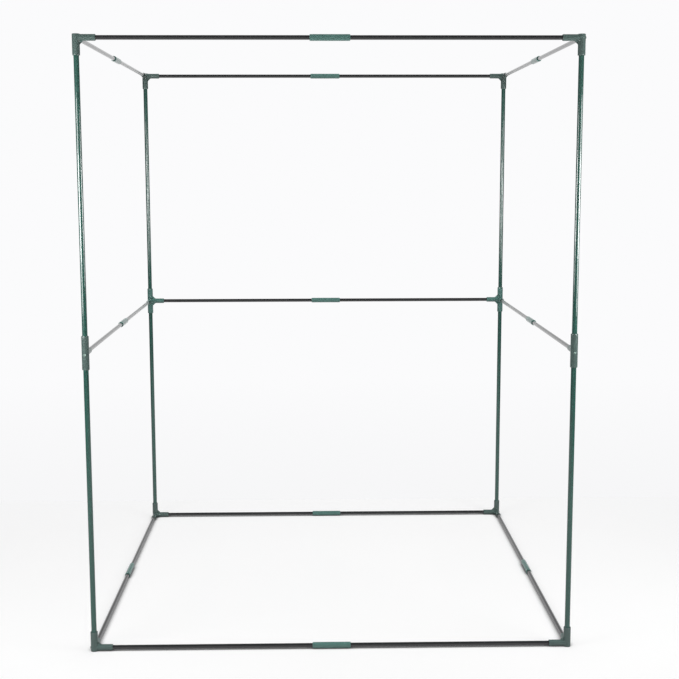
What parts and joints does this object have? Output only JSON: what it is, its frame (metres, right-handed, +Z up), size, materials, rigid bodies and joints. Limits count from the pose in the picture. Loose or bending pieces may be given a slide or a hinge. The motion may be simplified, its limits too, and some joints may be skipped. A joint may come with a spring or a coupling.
{
  "type": "fruit cage",
  "caption": "Square push-fit tube frame for a garden fruit cage, with rails at bottom, middle and top, an open front and moulded connectors; no net.",
  "frame": {"origin": "on the ground, at the centre of the square plan", "axes": "+X to the right as seen from the open front, +Y from the open front to the back, +Z up"},
  "size_m": [1.4542, 1.4542, 1.816],
  "materials": {
    "green_moulded_plastic": "satin",
    "green_coated_steel": "gloss",
    "charcoal_coated_steel": "gloss"
  },
  "bodies": {
    "root": {"corner_bottom_front_left": "green_moulded_plastic", "corner_bottom_front_right": "green_moulded_plastic", "corner_bottom_back_left": "green_moulded_plastic", "corner_bottom_back_right": "green_moulded_plastic", "corner_top_front_left": "green_moulded_plastic", "corner_top_front_right": "green_moulded_plastic", "corner_top_back_left": "green_moulded_plastic", "corner_top_back_right": "green_moulded_plastic", "tee_front_left": "green_moulded_plastic", "cross_back_left": "green_moulded_plastic", "tee_front_right": "green_moulded_plastic", "cross_back_right": "green_moulded_plastic", "post_front_left_lower": "green_coated_steel", "post_front_left_upper": "green_coated_steel", "post_front_right_lower": "green_coated_steel", "post_front_right_upper": "green_coated_steel", "post_back_left_lower": "green_coated_steel", "post_back_left_upper": "green_coated_steel", "post_back_right_lower": "green_coated_steel", "post_back_right_upper": "green_coated_steel", "coupling_bottom_front": "green_moulded_plastic", "rail_bottom_front_left": "charcoal_coated_steel", "rail_bottom_front_right": "charcoal_coated_steel", "coupling_bottom_back": "green_moulded_plastic", "rail_bottom_back_left": "charcoal_coated_steel", "rail_bottom_back_right": "charcoal_coated_steel", "coupling_bottom_left": "green_moulded_plastic", "rail_bottom_left_front": "charcoal_coated_steel", "rail_bottom_left_back": "charcoal_coated_steel", "coupling_bottom_right": "green_moulded_plastic", "rail_bottom_right_front": "charcoal_coated_steel", "rail_bottom_right_back": "charcoal_coated_steel", "coupling_middle_back": "green_moulded_plastic", "rail_middle_back_left": "charcoal_coated_steel", "rail_middle_back_right": "charcoal_coated_steel", "coupling_middle_left": "green_moulded_plastic", "rail_middle_left_front": "charcoal_coated_steel", "rail_middle_left_back": "charcoal_coated_steel", "coupling_middle_right": "green_moulded_plastic", "rail_middle_right_front": "charcoal_coated_steel", "rail_middle_right_back": "charcoal_coated_steel", "coupling_top_front": "green_moulded_plastic", "rail_top_front_left": "charcoal_coated_steel", "rail_top_front_right": "charcoal_coated_steel", "coupling_top_back": "green_moulded_plastic", "rail_top_back_left": "charcoal_coated_steel", "rail_top_back_right": "charcoal_coated_steel", "coupling_top_left": "green_moulded_plastic", "rail_top_left_front": "charcoal_coated_steel", "rail_top_left_back": "charcoal_coated_steel", "coupling_top_right": "green_moulded_plastic", "rail_top_right_front": "charcoal_coated_steel", "rail_top_right_back": "charcoal_coated_steel"}
  },
  "joints": []
}
